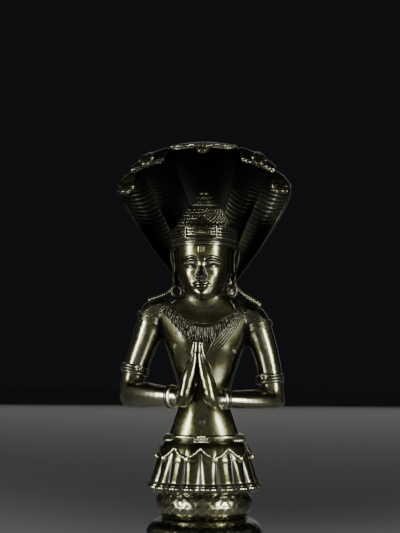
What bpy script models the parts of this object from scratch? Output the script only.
"""A cast bronze sage with a serpent's coils for legs, under a five-headed cobra hood, on a lotus plinth.

Metres, +Z up. The figure faces -Y, and the origin is the middle of the plinth's underside.
"""

import math

import bmesh
import bpy
import numpy as np
from mathutils import Vector

# Plinth
PLINTH_RADIUS = 0.070
PLINTH_HEIGHT = 0.026
PLINTH_FOOT_HEIGHT = 0.0045
PLINTH_SLAB_RADIUS = 0.0635
PLINTH_SLAB_HEIGHT = 0.0040
PLINTH_WAIST_RADIUS = 0.0560
PETAL_BULGE = 0.0050
PETAL_COUNT = 16
JOINT_GAP = 0.0003

# Serpent coils, from the lowest to the highest
COIL_COUNT = 3
LOW_COIL_RADIUS = 0.0350
LOW_COIL_THICKNESS = 0.0260
COIL_STEP_IN = 0.0065
COIL_THICKNESS_STEP = 0.0010
COIL_FLAT = 0.0010
COIL_NESTING = 0.92
TAIL_TURN = 0.55
TAIL_ROOT_SHARE = 0.62
TAIL_TIP_THICKNESS = 0.0040

# Figure. Everything on it is in talas: one tala is the face, from hairline to chin.
TALA = 0.0385
LAP_RISE = 0.0165
SHOULDER_SLOPE = 0.065
HANDS_TO_RIGHT = 0.04

# Hood
HOOD_WALL = 0.0032
SNAKE_HEAD_WIDTH = 0.0115

BRONZE = (0.30, 0.25, 0.13, 1.0)

low_coil_z = PLINTH_HEIGHT + JOINT_GAP + LOW_COIL_THICKNESS / 2 - COIL_FLAT


def coil_radius(level):
    """Distance from the axis to the middle of the body, where level 0 is the lowest coil."""
    return LOW_COIL_RADIUS - COIL_STEP_IN * level


def coil_thickness(level):
    return LOW_COIL_THICKNESS - COIL_THICKNESS_STEP * level


def coil_rise():
    """Height from one coil's middle to the next one's, so that each nests on the one below."""
    apart = COIL_NESTING * (coil_thickness(0) + coil_thickness(1)) / 2
    return math.sqrt(max(apart**2 - COIL_STEP_IN**2, (apart / 2) ** 2))


def coil_height(level):
    return low_coil_z + coil_rise() * level


top_coil = COIL_COUNT - 1
coils_top_z = coil_height(top_coil) + coil_thickness(top_coil) / 2
lap_z = coils_top_z + LAP_RISE


def clear_scene():
    for obj in list(bpy.data.objects):
        bpy.data.objects.remove(obj)


def bronze():
    """Old bronze, dark olive where it isn't rubbed."""
    made = bpy.data.materials.new("old_bronze")
    made.use_nodes = True
    shader = made.node_tree.nodes["Principled BSDF"]
    shader.inputs["Base Color"].default_value = BRONZE
    shader.inputs["Metallic"].default_value = 1.0
    shader.inputs["Roughness"].default_value = 0.35
    return made


def smooth_rows(rows, per_gap):
    """A Catmull-Rom curve through rows of numbers, with per_gap steps from each row to the next."""
    rows = np.array(rows, float)
    ends = np.vstack([2 * rows[0] - rows[1], rows, 2 * rows[-1] - rows[-2]])
    made = []
    for i in range(len(rows) - 1):
        before, start, stop, after = ends[i : i + 4]
        for t in np.arange(per_gap) / per_gap:
            made.append(
                0.5
                * (
                    2 * start
                    + (stop - before) * t
                    + (2 * before - 5 * start + 4 * stop - after) * t**2
                    + (3 * start - before - 3 * stop + after) * t**3
                )
            )
    made.append(rows[-1])
    return np.array(made)


def smooth_step(t):
    t = min(max(t, 0.0), 1.0)
    return t * t * (3 - 2 * t)


def unit(v):
    return v / np.linalg.norm(v)


def solid_from_rings(name, rings, hubs=(None, None)):
    """A closed mesh through rings of points that all have the same count, capped at both ends.

    hubs are the places that the caps fan out from, where the middle of a ring isn't inside it.
    """
    bm = bmesh.new()
    loops = [[bm.verts.new(p) for p in ring] for ring in rings]
    for low, high in zip(loops, loops[1:]):
        for i in range(len(low)):
            j = (i + 1) % len(low)
            bm.faces.new((low[i], low[j], high[j], high[i]))
    for ring, hub in zip((loops[0], loops[-1]), hubs):
        middle = bm.verts.new(sum((v.co for v in ring), Vector()) / len(ring) if hub is None else hub)
        for i in range(len(ring)):
            bm.faces.new((ring[i], ring[(i + 1) % len(ring)], middle))
    bmesh.ops.recalc_face_normals(bm, faces=bm.faces)
    if bm.calc_volume(signed=True) < 0:
        bmesh.ops.reverse_faces(bm, faces=bm.faces)
    mesh = bpy.data.meshes.new(name)
    bm.to_mesh(mesh)
    bm.free()
    obj = bpy.data.objects.new(name, mesh)
    bpy.context.scene.collection.objects.link(obj)
    return obj


def oval(centre, across, along, sides, squareness=2.0):
    """A ring of points on a superellipse whose half axes are the vectors across and along."""
    ring = []
    for i in range(sides):
        angle = 2 * math.pi * i / sides
        c, s = math.cos(angle), math.sin(angle)
        size = (abs(c) ** squareness + abs(s) ** squareness) ** (-1 / squareness)
        ring.append(centre + size * (c * across + s * along))
    return ring


def tube(name, centres, half_widths, half_depths, side, sides):
    """A limb along centres. side is the direction in which half_widths are measured."""
    centres = np.array(centres, float)
    rings = []
    for i, centre in enumerate(centres):
        ahead = unit(centres[min(i + 1, len(centres) - 1)] - centres[max(i - 1, 0)])
        across = unit(np.array(side) - ahead * np.dot(side, ahead))
        along = np.cross(ahead, across)
        rings.append(oval(centre, across * half_widths[i], along * half_depths[i], sides))
    return solid_from_rings(name, rings)


def ball(name, centre, radii, sides=12, bands=6):
    """An ellipsoid whose poles are above and below its centre."""
    centre, radii = np.array(centre, float), np.array(radii, float)
    rings = []
    for i in range(bands):
        lift = math.pi * ((i + 0.5) / bands - 0.5)
        wide = math.cos(lift)
        middle = centre + np.array([0, 0, radii[2] * math.sin(lift)])
        rings.append(
            oval(middle, np.array([radii[0] * wide, 0, 0]), np.array([0, radii[1] * wide, 0]), sides)
        )
    return solid_from_rings(name, rings)


def band(name, centre, axis, reach, half_width, bulge, sides=10):
    """A ring of metal round a limb: reach is its half axes across the limb, bulge its swell."""
    axis = unit(np.array(axis, float))
    across = unit(np.cross(axis, [0.0, 1.0, 0.05]))
    along = np.cross(axis, across)
    profile = [(-1.0, 0.0), (-0.6, bulge), (0.6, bulge), (1.0, 0.0)]
    rings = [
        oval(np.array(centre) + axis * half_width * step, across * (reach[0] + swell),
             along * (reach[1] + swell), sides)
        for step, swell in profile
    ]
    return solid_from_rings(name, rings)


def fuse(name, pieces):
    """One casting of all the pieces. The first one carries the union of the rest."""
    hidden = bpy.data.collections.new(name + "_pieces")
    bpy.context.scene.collection.children.link(hidden)
    hidden.hide_render = True
    core = pieces[0]
    core.name = name
    for piece in pieces[1:]:
        bpy.context.scene.collection.objects.unlink(piece)
        hidden.objects.link(piece)
        piece.hide_render = True
        piece.display_type = "WIRE"
    union = core.modifiers.new("casting", "BOOLEAN")
    union.operation = "UNION"
    union.operand_type = "COLLECTION"
    union.collection = hidden
    union.solver = "EXACT"
    union.use_self = True
    return core


def finish(obj, material, sharp_deg=35):
    obj.data.materials.append(material)
    obj.data.shade_smooth()
    obj.data.set_sharp_from_angle(angle=math.radians(sharp_deg))


def on_figure(x, y, z):
    """A place on the figure, given in talas from the lap, with the slope of its shoulders."""
    sloping = smooth_step((z - 0.9) / 0.4) * (1 - smooth_step((z - 2.75) / 0.4))
    return np.array([x * TALA, y * TALA, lap_z + (z - SHOULDER_SLOPE * x * sloping) * TALA])


# Plinth


def plinth():
    """A round foot, a ring of lotus petals and a slab for the coils to lie on."""
    slab_z = PLINTH_HEIGHT - PLINTH_SLAB_HEIGHT
    petal_z = PLINTH_FOOT_HEIGHT + 0.0012
    petal_height = slab_z - 0.0020 - petal_z
    shoulder = PLINTH_WAIST_RADIUS - 0.0010
    profile = [
        (PLINTH_RADIUS, 0.0, 0.0),
        (PLINTH_RADIUS, PLINTH_FOOT_HEIGHT, 0.0),
        (PLINTH_WAIST_RADIUS + 0.0065, petal_z, 0.2),
        (PLINTH_WAIST_RADIUS + 0.0075, petal_z + 0.25 * petal_height, 1.0),
        (PLINTH_WAIST_RADIUS + 0.0050, petal_z + 0.60 * petal_height, 0.9),
        (shoulder, petal_z + petal_height, 0.1),
        (shoulder, slab_z, 0.0),
        (PLINTH_SLAB_RADIUS, slab_z + 0.0004, 0.0),
        (PLINTH_SLAB_RADIUS, PLINTH_HEIGHT, 0.0),
    ]
    per_petal = 3
    count = PETAL_COUNT * per_petal
    rings = []
    for radius, height, petal in profile:
        ring = []
        for i in range(count):
            angle = 2 * math.pi * i / count
            swell = abs(math.sin(PETAL_COUNT * angle / 2)) ** 0.6 - 0.5
            reach = radius + petal * PETAL_BULGE * swell
            ring.append(np.array([reach * math.cos(angle), reach * math.sin(angle), height]))
        rings.append(ring)
    return solid_from_rings("plinth", rings)


# Coils


def coil_level(turn):
    """How high the body lies after this many turns. It climbs at the back, and lies level elsewhere."""
    climb = 0.26
    whole = round(turn)
    return whole + smooth_step((turn - whole) / climb + 0.5) - 1


def coils(sides=8, per_turn=14):
    """The serpent's body, from the tip of its tail, out beside the lowest coil, up to the lap."""
    start, stop = -TAIL_TURN, COIL_COUNT + 0.06
    count = int((stop - start) * per_turn)
    rings = []
    for i in range(count + 1):
        turn = start + (stop - start) * i / count
        angle = math.pi / 2 + 2 * math.pi * turn
        level = max(coil_level(turn), 0.0)
        level = min(level, top_coil)
        radius, height, thick = coil_radius(level), coil_height(level), coil_thickness(level)
        if turn < 0.35:
            thick *= 1 - (1 - TAIL_ROOT_SHARE) * smooth_step(1 - turn / 0.35)
            radius += (coil_thickness(0) - thick) / 2
            height = PLINTH_HEIGHT + JOINT_GAP + thick / 2 - COIL_FLAT
        if turn < 0.0:
            thick = TAIL_TIP_THICKNESS + (thick - TAIL_TIP_THICKNESS) * (1 - (turn / start) ** 1.6)
            beside = coil_radius(0) + coil_thickness(0) / 2 + thick * 0.40
            radius += (beside - radius) * smooth_step(-turn / 0.20)
            height = PLINTH_HEIGHT + JOINT_GAP + thick / 2 - COIL_FLAT * (1 - turn / start)
        out = np.array([math.cos(angle), math.sin(angle), 0.0])
        ring = oval(out * radius + [0, 0, height], out * thick / 2, np.array([0, 0, thick / 2]), sides)
        floor = PLINTH_HEIGHT + JOINT_GAP
        rings.append([np.array([p[0], p[1], max(p[2], floor)]) for p in ring])
    return solid_from_rings("coils", rings)


def coil_core(sides=18):
    """What fills the coils, up to the lap."""
    rings = []
    for level in (0, top_coil / 2, top_coil):
        radius = coil_radius(level)
        z = coil_height(level)
        if level == 0:
            rings.append(oval(np.array([0, 0, PLINTH_HEIGHT + JOINT_GAP]), np.array([radius, 0, 0]),
                              np.array([0, radius, 0]), sides))
        rings.append(oval(np.array([0, 0, z]), np.array([radius, 0, 0]), np.array([0, radius, 0]), sides))
    rings.append([np.array([x, y, coils_top_z]) for x, y, _ in rings[-1]])
    return solid_from_rings("coil_core", rings)


# Body. Each row is height, half width, depth in front, depth behind.

TORSO = [
    (-0.55, 0.54, 0.46, 0.46),
    (-0.25, 0.62, 0.52, 0.49),
    (0.05, 0.70, 0.52, 0.49),
    (0.38, 0.67, 0.48, 0.45),
    (0.73, 0.56, 0.42, 0.37),
    (1.06, 0.46, 0.37, 0.30),
    (1.38, 0.49, 0.39, 0.31),
    (1.72, 0.59, 0.43, 0.36),
    (2.08, 0.71, 0.49, 0.42),
    (2.35, 0.80, 0.49, 0.44),
    (2.58, 0.87, 0.43, 0.43),
    (2.78, 0.84, 0.34, 0.39),
    (2.92, 0.58, 0.31, 0.36),
    (3.05, 0.38, 0.32, 0.34),
    (3.27, 0.33, 0.31, 0.33),
    (3.48, 0.33, 0.30, 0.33),
]
CHEST_SWELL = 0.05


def bump(x, z, x0, z0, wide, high):
    return math.exp(-(((x - x0) / wide) ** 2) - ((z - z0) / high) ** 2)


def torso(sides=18):
    """The body from inside the coils to the neck, with a soft swell on each side of the chest."""
    rings = []
    for z, half_width, front, back in TORSO:
        ring = []
        for i in range(sides):
            angle = 2 * math.pi * i / sides
            c, s = math.cos(angle), math.sin(angle)
            swell = CHEST_SWELL * bump(abs(half_width * c), z, 0.38, 2.2, 0.2, 0.24)
            depth = back if s > 0 else front + swell
            ring.append(on_figure(half_width * c, depth * s, z))
        rings.append(ring)
    return solid_from_rings("torso", rings)


def limb(name, path, radii, depths, side, sides=10):
    """A limb given in talas."""
    centres = [on_figure(*p) for p in path]
    return tube(name, centres, np.array(radii) * TALA, np.array(depths) * TALA, side, sides)


def arm(side):
    """Shoulder, upper arm and forearm. side is -1 for the figure's right arm."""
    lean = HANDS_TO_RIGHT
    upper = limb(
        "upper_arm",
        [(side * 0.80, 0.08, 2.84), (side * 0.92, 0.08, 2.67), (side * 1.01, 0.08, 2.38),
         (side * 1.11, 0.07, 2.05), (side * 1.21 - lean / 2, 0.05, 1.70),
         (side * 1.28 - lean, 0.00, 1.35), (side * 1.31 - lean, -0.04, 1.10)],
        [0.17, 0.235, 0.25, 0.225, 0.215, 0.205, 0.14],
        [0.17, 0.25, 0.265, 0.24, 0.225, 0.205, 0.14],
        (1, 0, 0),
    )
    lower = limb(
        "forearm",
        [(side * 1.37 - lean, 0.06, 1.19), (side * 1.25 - lean, -0.09, 1.18),
         (side * 1.02 - lean, -0.32, 1.18), (side * 0.75 - lean, -0.54, 1.19),
         (side * 0.48 - lean, -0.72, 1.20), (side * 0.36 - lean, -0.77, 1.21)],
        [0.15, 0.21, 0.215, 0.19, 0.155, 0.15],
        [0.15, 0.21, 0.215, 0.18, 0.145, 0.15],
        (0, 0, 1),
        8,
    )
    return [upper, lower]


def hand(side):
    """A palm and four fingers, pressed to the other hand's at the tips, and a thumb behind."""
    lean = HANDS_TO_RIGHT
    palm = limb(
        "palm",
        [(side * 0.30 - lean, -0.76, 1.12), (side * 0.225 - lean, -0.77, 1.24),
         (side * 0.185 - lean, -0.78, 1.45), (side * 0.140 - lean, -0.78, 1.68),
         (side * 0.090 - lean, -0.77, 1.90), (side * 0.060 - lean, -0.75, 2.10),
         (side * 0.045 - lean, -0.73, 2.22)],
        [0.100, 0.155, 0.138, 0.114, 0.078, 0.048, 0.030],
        [0.120, 0.185, 0.215, 0.215, 0.185, 0.140, 0.080],
        (1, 0, 0),
        10,
    )
    thumb = limb(
        "thumb",
        [(side * 0.20 - lean, -0.60, 1.34), (side * 0.14 - lean, -0.53, 1.56),
         (side * 0.10 - lean, -0.51, 1.76), (side * 0.085 - lean, -0.52, 1.90)],
        [0.095, 0.080, 0.060, 0.030],
        [0.095, 0.085, 0.065, 0.035],
        (1, 0, 0),
        6,
    )
    return [palm, thumb]


def jewels_of_arm(side):
    """Shoulder band, armlet and bracelet."""
    lean = HANDS_TO_RIGHT
    return [
        band("shoulder_band", on_figure(side * 0.965, 0.08, 2.53), (side * 0.30, 0, -1),
             (0.255 * TALA, 0.265 * TALA), 0.075 * TALA, 0.030 * TALA),
        band("armlet", on_figure(side * 1.235 - lean, 0.03, 1.58), (side * 0.18, -0.1, -1),
             (0.215 * TALA, 0.220 * TALA), 0.085 * TALA, 0.060 * TALA),
        band("bracelet", on_figure(side * 0.48 - lean, -0.72, 1.20), (side * 0.80, 0.55, 0.0),
             (0.160 * TALA, 0.160 * TALA), 0.085 * TALA, 0.045 * TALA),
    ]


# Head. Each row is height above the chin, half width, depth in front, depth behind.

CHIN = 3.0
HEAD_Y = -0.03
HEAD = [
    (-0.06, 0.12, 0.44, -0.20),
    (-0.03, 0.21, 0.50, -0.05),
    (0.06, 0.32, 0.540, 0.14),
    (0.20, 0.42, 0.550, 0.30),
    (0.34, 0.472, 0.550, 0.42),
    (0.48, 0.497, 0.547, 0.49),
    (0.62, 0.508, 0.545, 0.53),
    (0.78, 0.515, 0.560, 0.55),
    (0.94, 0.512, 0.550, 0.55),
    (1.10, 0.480, 0.480, 0.50),
]


def face_relief(x, z):
    """How far the features stand out of the face, on plain thirds: brow at 2/3, nose to 1/3."""
    x = abs(x)
    nose = math.exp(-((x / (0.045 + 0.05 * smooth_step((0.60 - z) / 0.25))) ** 2))
    nose *= 0.035 + 0.105 * smooth_step((0.66 - z) / 0.30)
    nose *= smooth_step((z - 0.315) / 0.04) * smooth_step((0.74 - z) / 0.08)
    socket = -0.030 * bump(x, z, 0.20, 0.57, 0.13, 0.075)
    lid = 0.026 * bump(x, z, 0.20, 0.565, 0.085, 0.040)
    brow = 0.014 * bump(x, z, 0.20, 0.68, 0.16, 0.030)
    lips = 0.036 * bump(x, z, 0.0, 0.245, 0.105, 0.022) + 0.034 * bump(x, z, 0.0, 0.195, 0.085, 0.024)
    chin = 0.030 * bump(x, z, 0.0, 0.07, 0.12, 0.06)
    return nose + socket + lid + brow + lips + chin


def head(front_sides=18, back_sides=4, per_gap=2):
    """The head without its crown: an egg of level sections with the face raised on its front."""
    turns = [math.pi * (1.08 + 0.84 * i / front_sides) for i in range(front_sides)]
    turns += [math.pi * (1.92 + 1.16 * i / back_sides) for i in range(back_sides)]
    rings = []
    for z, half_width, front, back in smooth_rows(HEAD, per_gap):
        ring = []
        for angle in turns:
            c, s = math.cos(angle), math.sin(angle)
            depth = back if s > 0 else front
            size = (abs(c) ** 2.15 + abs(s) ** 2.15) ** (-1 / 2.15)
            x, y = half_width * c * size, depth * s * size
            facing = smooth_step((-s - 0.25) / 0.35) if front > 0.5 else 0.0
            y -= face_relief(x, z) * facing
            ring.append(on_figure(x, HEAD_Y + y, CHIN + z))
        rings.append(ring)
    return solid_from_rings("head", rings)


def ears():
    """Long ears with a hanging lobe."""
    made = []
    for side in (-1, 1):
        made.append(
            limb(
                "ear",
                [(side * 0.54, 0.02, 3.83), (side * 0.565, 0.04, 3.75), (side * 0.565, 0.05, 3.60),
                 (side * 0.545, 0.05, 3.42), (side * 0.53, 0.05, 3.28), (side * 0.52, 0.05, 3.20)],
                [0.02, 0.045, 0.045, 0.04, 0.045, 0.02],
                [0.05, 0.11, 0.10, 0.065, 0.065, 0.03],
                (1, 0, 0),
                6,
            )
        )
    return made


# Crown. Each row is height above the hairline, and radius.

HAIRLINE = 4.0
CROWN = [
    (-0.05, 0.535),
    (-0.04, 0.575),
    (0.02, 0.575),
    (0.03, 0.555),
    (0.05, 0.600),
    (0.26, 0.580),
    (0.27, 0.525),
    (0.31, 0.495),
    (0.46, 0.410),
    (0.58, 0.315),
    (0.62, 0.260),
    (0.64, 0.270),
    (0.68, 0.265),
    (0.70, 0.200),
    (0.74, 0.190),
    (0.79, 0.145),
    (0.85, 0.100),
    (0.88, 0.095),
    (0.92, 0.060),
    (0.94, 0.020),
]
CROWN_ARCH = 0.075


def crown(sides=16):
    """A tall crown of banded tiers. Its bands run lower at the ears than over the brow."""
    rings = []
    for z, radius in CROWN:
        arch = CROWN_ARCH * (1 - smooth_step(z / 0.6))
        ring = []
        for i in range(sides):
            angle = 2 * math.pi * i / sides
            x, y = radius * math.cos(angle), radius * 1.03 * math.sin(angle)
            ring.append(on_figure(x, HEAD_Y + y, HAIRLINE + z - arch * (1 + math.sin(angle))))
        rings.append(ring)
    return solid_from_rings("crown", rings)


# The plate: half width, half height, height of its middle above the hairline, and how far out each
# of its steps lies, with its size there
PLATE_HALF_WIDTH = 0.300
PLATE_HALF_HEIGHT = 0.110
PLATE_RISE = 0.155
PLATE_STEPS = [(0.500, 1.0), (0.645, 1.0), (0.660, 0.88)]


def crown_plate():
    """The plate on the front of the crown's band."""
    wide, high = np.array([PLATE_HALF_WIDTH, 0, 0]), np.array([0, 0, PLATE_HALF_HEIGHT])
    rings = []
    for out, size in PLATE_STEPS:
        outline = oval(np.zeros(3), wide * size, high * size, 14, 4)
        rings.append([
            on_figure(x, HEAD_Y - math.sqrt(max(out**2 - x**2, 0.0)), HAIRLINE + PLATE_RISE + z)
            for x, _, z in outline
        ])
    return solid_from_rings("crown_plate", rings)


def earrings():
    """A hoop under each ear, in front of the neck."""
    made = []
    for side in (-1, 1):
        rings = []
        for i in range(10):
            angle = 2 * math.pi * i / 10
            out = np.array([math.cos(angle), 0.25 * math.cos(angle), math.sin(angle)])
            middle = on_figure(side * 0.50, -0.02, 3.10) + out * 0.105 * TALA
            rings.append(oval(middle, out * 0.045 * TALA, np.array([0, 0.06 * TALA, 0]), 5))
        made.append(closed_loop("earring", rings))
    return made


def closed_loop(name, rings):
    """Rings joined end to end, like a torus."""
    bm = bmesh.new()
    loops = [[bm.verts.new(p) for p in ring] for ring in rings]
    for low, high in zip(loops, loops[1:] + loops[:1]):
        for i in range(len(low)):
            j = (i + 1) % len(low)
            bm.faces.new((low[i], low[j], high[j], high[i]))
    bmesh.ops.recalc_face_normals(bm, faces=bm.faces)
    if bm.calc_volume(signed=True) < 0:
        bmesh.ops.reverse_faces(bm, faces=bm.faces)
    mesh = bpy.data.meshes.new(name)
    bm.to_mesh(mesh)
    bm.free()
    obj = bpy.data.objects.new(name, mesh)
    bpy.context.scene.collection.objects.link(obj)
    return obj


def ribbons():
    """A cord from behind each ear, lying out over the shoulder."""
    made = []
    for side in (-1, 1):
        made.append(
            limb(
                "ribbon",
                [(side * 0.50, 0.14, 3.32), (side * 0.56, 0.14, 3.18), (side * 0.70, 0.12, 3.03),
                 (side * 0.86, 0.08, 2.93), (side * 1.00, 0.05, 2.86)],
                [0.045, 0.040, 0.040, 0.042, 0.045],
                [0.045, 0.040, 0.040, 0.042, 0.045],
                (0, 1, 0),
                5,
            )
        )
    return made


# What lies on the chest and shoulders

CHEST_HEART = 2.45


def torso_reach(z):
    """Half width, depth in front and depth behind of the body at this height."""
    levels = [row[0] for row in TORSO]
    return [np.interp(z, levels, [row[k] for row in TORSO]) for k in (1, 2, 3)]


def on_chest(azimuth, lift, out):
    """Where a ray from inside the chest comes out, plus out. An azimuth of 0 is straight ahead."""
    way = np.array([math.sin(azimuth) * math.cos(lift), -math.cos(azimuth) * math.cos(lift), math.sin(lift)])
    near, far = 0.0, 1.3
    for _ in range(24):
        middle = (near + far) / 2
        x, y, z = way * middle + [0, 0, CHEST_HEART]
        half_width, front, back = torso_reach(z)
        depth = back if y > 0 else front + CHEST_SWELL * bump(abs(x), z, 0.38, 2.2, 0.2, 0.24)
        if (x / half_width) ** 2 + (y / depth) ** 2 < 1:
            near = middle
        else:
            far = middle
    return on_figure(*(way * (near + out) + [0, 0, CHEST_HEART]))


def collar(around=36):
    """A broad collar with a fringe of leaves. It hangs lowest in front."""
    rings = []
    for i in range(around):
        azimuth = 2 * math.pi * i / around
        ahead = 0.5 + 0.5 * math.cos(azimuth)
        top = math.radians(60 - 50 * ahead**1.6)
        bottom = math.radians(34 - 56 * ahead**1.6) + math.radians(5) * (i % 2)
        low = 0.035 + 0.015 * (i % 2)
        rings.append([
            on_chest(azimuth, top, -0.10),
            on_chest(azimuth, top, 0.050),
            on_chest(azimuth, (top * 3 + bottom) / 4, 0.035),
            on_chest(azimuth, bottom, low),
            on_chest(azimuth, bottom, -0.10),
        ])
    return closed_loop("collar", rings)


def sacred_thread():
    """The strands from the figure's left shoulder across the chest."""
    path = [(1.25, 0.55), (1.00, 0.25), (0.75, 0.00), (0.55, -0.30), (0.35, -0.62), (-0.10, -0.90),
            (-0.70, -1.08)]
    centres = [on_chest(azimuth, lift, 0.0) for azimuth, lift in path]
    reach = np.full(len(path), 0.085 * TALA)
    return tube("sacred_thread", centres, reach, reach * 0.45, (1, 0, 0.6), 6)


# Waist

SKIRT = [
    (0.46, 0.66, 0.00),
    (0.26, 0.79, 0.10),
    (-0.15, 0.89, 0.70),
    (-0.44, 0.97, 1.00),
    (-0.52, 0.93, 0.60),
]
PLEATS = 18
PLEAT_DEPTH = 0.040


def skirt():
    """A short pleated cloth from the belt down over the top coil."""
    sides = PLEATS * 2
    rings = []
    for z, reach, fold in SKIRT:
        ring = []
        for i in range(sides):
            angle = 2 * math.pi * (i + 0.5) / sides
            out = reach + PLEAT_DEPTH * fold * (1 if i % 2 else -1)
            ring.append(on_figure(out * math.cos(angle), out * 0.86 * math.sin(angle), z))
        rings.append(ring)
    return solid_from_rings("skirt", rings)


def belt():
    """A belt of two cords and a clasp."""
    return [
        band("belt", on_figure(0, 0.02, 0.40), (0, 0, -1), (0.70 * TALA, 0.52 * TALA), 0.11 * TALA,
             0.06 * TALA, 16),
        ball("clasp", on_figure(0, -0.54, 0.40), np.array([0.17, 0.08, 0.15]) * TALA, 10, 5),
    ]


# Serpent's back and hood

TRUNK = [
    ((0.0, 0.60, -0.72), 0.36, 0.32),
    ((0.0, 0.64, -0.25), 0.39, 0.29),
    ((0.0, 0.57, 0.35), 0.40, 0.26),
    ((0.0, 0.50, 1.05), 0.40, 0.25),
    ((0.0, 0.52, 1.75), 0.42, 0.24),
    ((0.0, 0.60, 2.40), 0.46, 0.20),
    ((0.0, 0.64, 3.10), 0.50, 0.12),
    ((0.0, 0.66, 3.60), 0.42, 0.08),
]


def trunk():
    """The serpent's body, up the figure's back to the root of the hood."""
    centres = [on_figure(*place) for place, _, _ in TRUNK]
    widths = np.array([row[1] for row in TRUNK]) * TALA
    depths = np.array([row[2] for row in TRUNK]) * TALA
    return tube("trunk", centres, widths, depths, (1, 0, 0), 10)


# The edges between the hood's lobes, from the root up: sideways, behind the axis and above the lap
HOOD_EDGES = [
    [(0.06, 0.62, 2.50), (0.12, 0.68, 3.20), (0.20, 0.70, 3.90), (0.32, 0.67, 4.55), (0.46, 0.58, 5.02),
     (0.58, 0.36, 5.40)],
    [(0.12, 0.62, 2.50), (0.30, 0.64, 3.20), (0.52, 0.64, 3.80), (0.76, 0.60, 4.38), (0.96, 0.50, 4.80),
     (1.13, 0.30, 5.09)],
    [(0.18, 0.62, 2.50), (0.50, 0.60, 3.20), (0.94, 0.46, 3.80), (1.32, 0.32, 4.38), (1.50, 0.20, 4.70),
     (1.56, 0.06, 4.90)],
]
# How each lobe's inner and outer edges go on, over the curl and forward to the lip
HOOD_CURLS = [
    ([], [(0.63, 0.08, 5.62), (0.61, -0.16, 5.69), (0.58, -0.34, 5.69)]),
    ([(0.62, 0.10, 5.62), (0.64, -0.12, 5.67), (0.70, -0.34, 5.47)],
     [(1.24, 0.08, 5.27), (1.30, -0.14, 5.32), (1.30, -0.34, 5.25)]),
    ([(1.20, 0.10, 5.25), (1.25, -0.10, 5.25), (1.25, -0.31, 4.94)],
     [(1.565, -0.06, 4.97), (1.55, -0.18, 4.97), (1.54, -0.31, 4.89)]),
]
# A lobe's hollow, in half widths: it flattens from this share of the lobe's length to the lip
LOBE_HOLLOW = 0.34
LIP_HOLLOW = 0.07
FLATTENS_FROM = 0.55
# Neighbouring lobes overlap where they share an edge, and part between these shares of their length
RIDGE_OVERLAP = 0.0006
PARTS_FROM, PARTS_BY = 0.5, 0.8
RIB_DEPTH = 0.0005


def lobe_frame(k, side):
    """The middle line of a lobe, its half widths, and the way across it."""
    outer = HOOD_EDGES[k] + HOOD_CURLS[k][1]
    inner = HOOD_EDGES[k - 1] + HOOD_CURLS[k][0] if k else [(-x, y, z) for x, y, z in outer]
    inner, outer = (
        np.array([on_figure(side * x, y, z) for x, y, z in smooth_rows(rows, 2)]) for rows in (inner, outer)
    )
    widths = np.linalg.norm(outer - inner, axis=1) / 2
    return (inner + outer) / 2, widths, (outer - inner) / (2 * widths[:, None])


def hood_lobe(k, side):
    """One cobra's hood: a thin hollow blade with ribs on its front, curling forward at the top."""
    centres, widths, across = lobe_frame(k, side)
    steps = (-1.0, -0.6, 0.0, 0.6, 1.0)
    rings, hubs = [], []
    for i, centre in enumerate(centres):
        ahead = unit(centres[min(i + 1, len(centres) - 1)] - centres[max(i - 1, 0)])
        front = side * unit(np.cross(across[i], ahead))
        raised = RIB_DEPTH * (1 if i % 2 else -1)
        share = i / (len(centres) - 1)
        flat = smooth_step((share - FLATTENS_FROM) / (1 - FLATTENS_FROM))
        hollow = LOBE_HOLLOW + (LIP_HOLLOW - LOBE_HOLLOW) * flat
        parted = smooth_step((share - PARTS_FROM) / (PARTS_BY - PARTS_FROM))
        half_width = widths[i] + RIDGE_OVERLAP * (1 - parted)
        face = [
            centre + half_width * (across[i] * s + front * hollow * (s * s - 1)) for s in steps
        ]
        ring = [p + front * (HOOD_WALL / 2 + (raised if abs(s) < 0.9 else 0)) for p, s in zip(face, steps)]
        ring += [p - front * HOOD_WALL / 2 for p in face[::-2]]
        rings.append(ring)
        hubs.append(face[2] - front * HOOD_WALL / 4)
    return solid_from_rings("hood_lobe", rings, (hubs[0], hubs[-1]))


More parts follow.
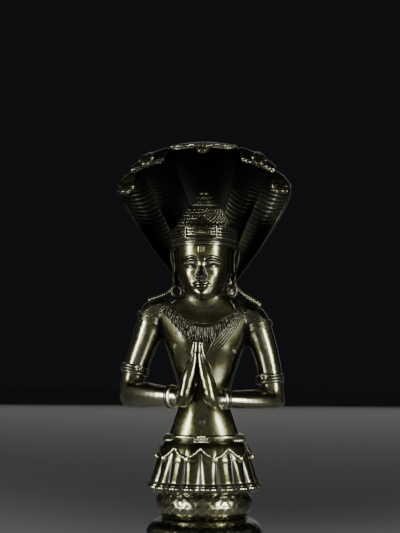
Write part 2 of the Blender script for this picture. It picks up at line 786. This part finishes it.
# Which way each lobe's head points: outward, forward and up
HEAD_WAYS = [(0.0, -1.0, -0.25), (0.15, -1.0, -0.40), (0.25, -1.0, -0.45)]
# How far each head's middle lies behind and above its lip's, in half widths of the head
HEAD_SETBACK = 0.90
HEAD_RAISES = [-0.30, 0.40, 0.00]
# A head, in half widths of itself: how far along, half width, height above, depth below
SNAKE_HEAD = [
    (-1.6, 0.80, 0.55, 0.50),
    (-0.9, 0.95, 0.70, 0.55),
    (-0.1, 1.08, 0.80, 0.60),
    (0.6, 0.98, 0.72, 0.55),
    (1.2, 0.72, 0.52, 0.42),
    (1.6, 0.42, 0.28, 0.26),
]


def snake_head(k, side, sides=6):
    """The head on the lip of a lobe."""
    centres, _, across = lobe_frame(k, side)
    size = SNAKE_HEAD_WIDTH / 2
    ahead = unit(np.array(HEAD_WAYS[k]) * [side, 1, 1])
    across = unit(across[-1] - ahead * np.dot(across[-1], ahead))
    above = np.cross(ahead, across) * side
    middle = centres[-1] + size * (above * HEAD_RAISES[k] - ahead * HEAD_SETBACK)
    rings = []
    for along, half_width, top, bottom in SNAKE_HEAD:
        ring = []
        for i in range(sides):
            angle = 2 * math.pi * i / sides
            lift = top if math.sin(angle) > 0 else bottom
            ring.append(middle + size * (ahead * along + across * half_width * math.cos(angle)
                                         + above * lift * math.sin(angle)))
        rings.append(ring)
    return solid_from_rings("snake_head", rings)


def hood():
    made = []
    for k in range(len(HOOD_EDGES)):
        for side in ((1,) if k == 0 else (-1, 1)):
            made.append(hood_lobe(k, side))
            made.append(snake_head(k, side))
    return made


def figure():
    """The whole casting above the plinth."""
    pieces = [torso(), coil_core(), coils(), skirt(), *belt(), trunk(), *hood()]
    for side in (-1, 1):
        pieces += [*arm(side), *hand(side), *jewels_of_arm(side)]
    pieces += [sacred_thread(), collar()]
    pieces += [head(), *ears(), crown(), crown_plate(), *earrings(), *ribbons()]
    return fuse("figure", pieces)


clear_scene()
old_bronze = bronze()
finish(plinth(), old_bronze)
finish(figure(), old_bronze)
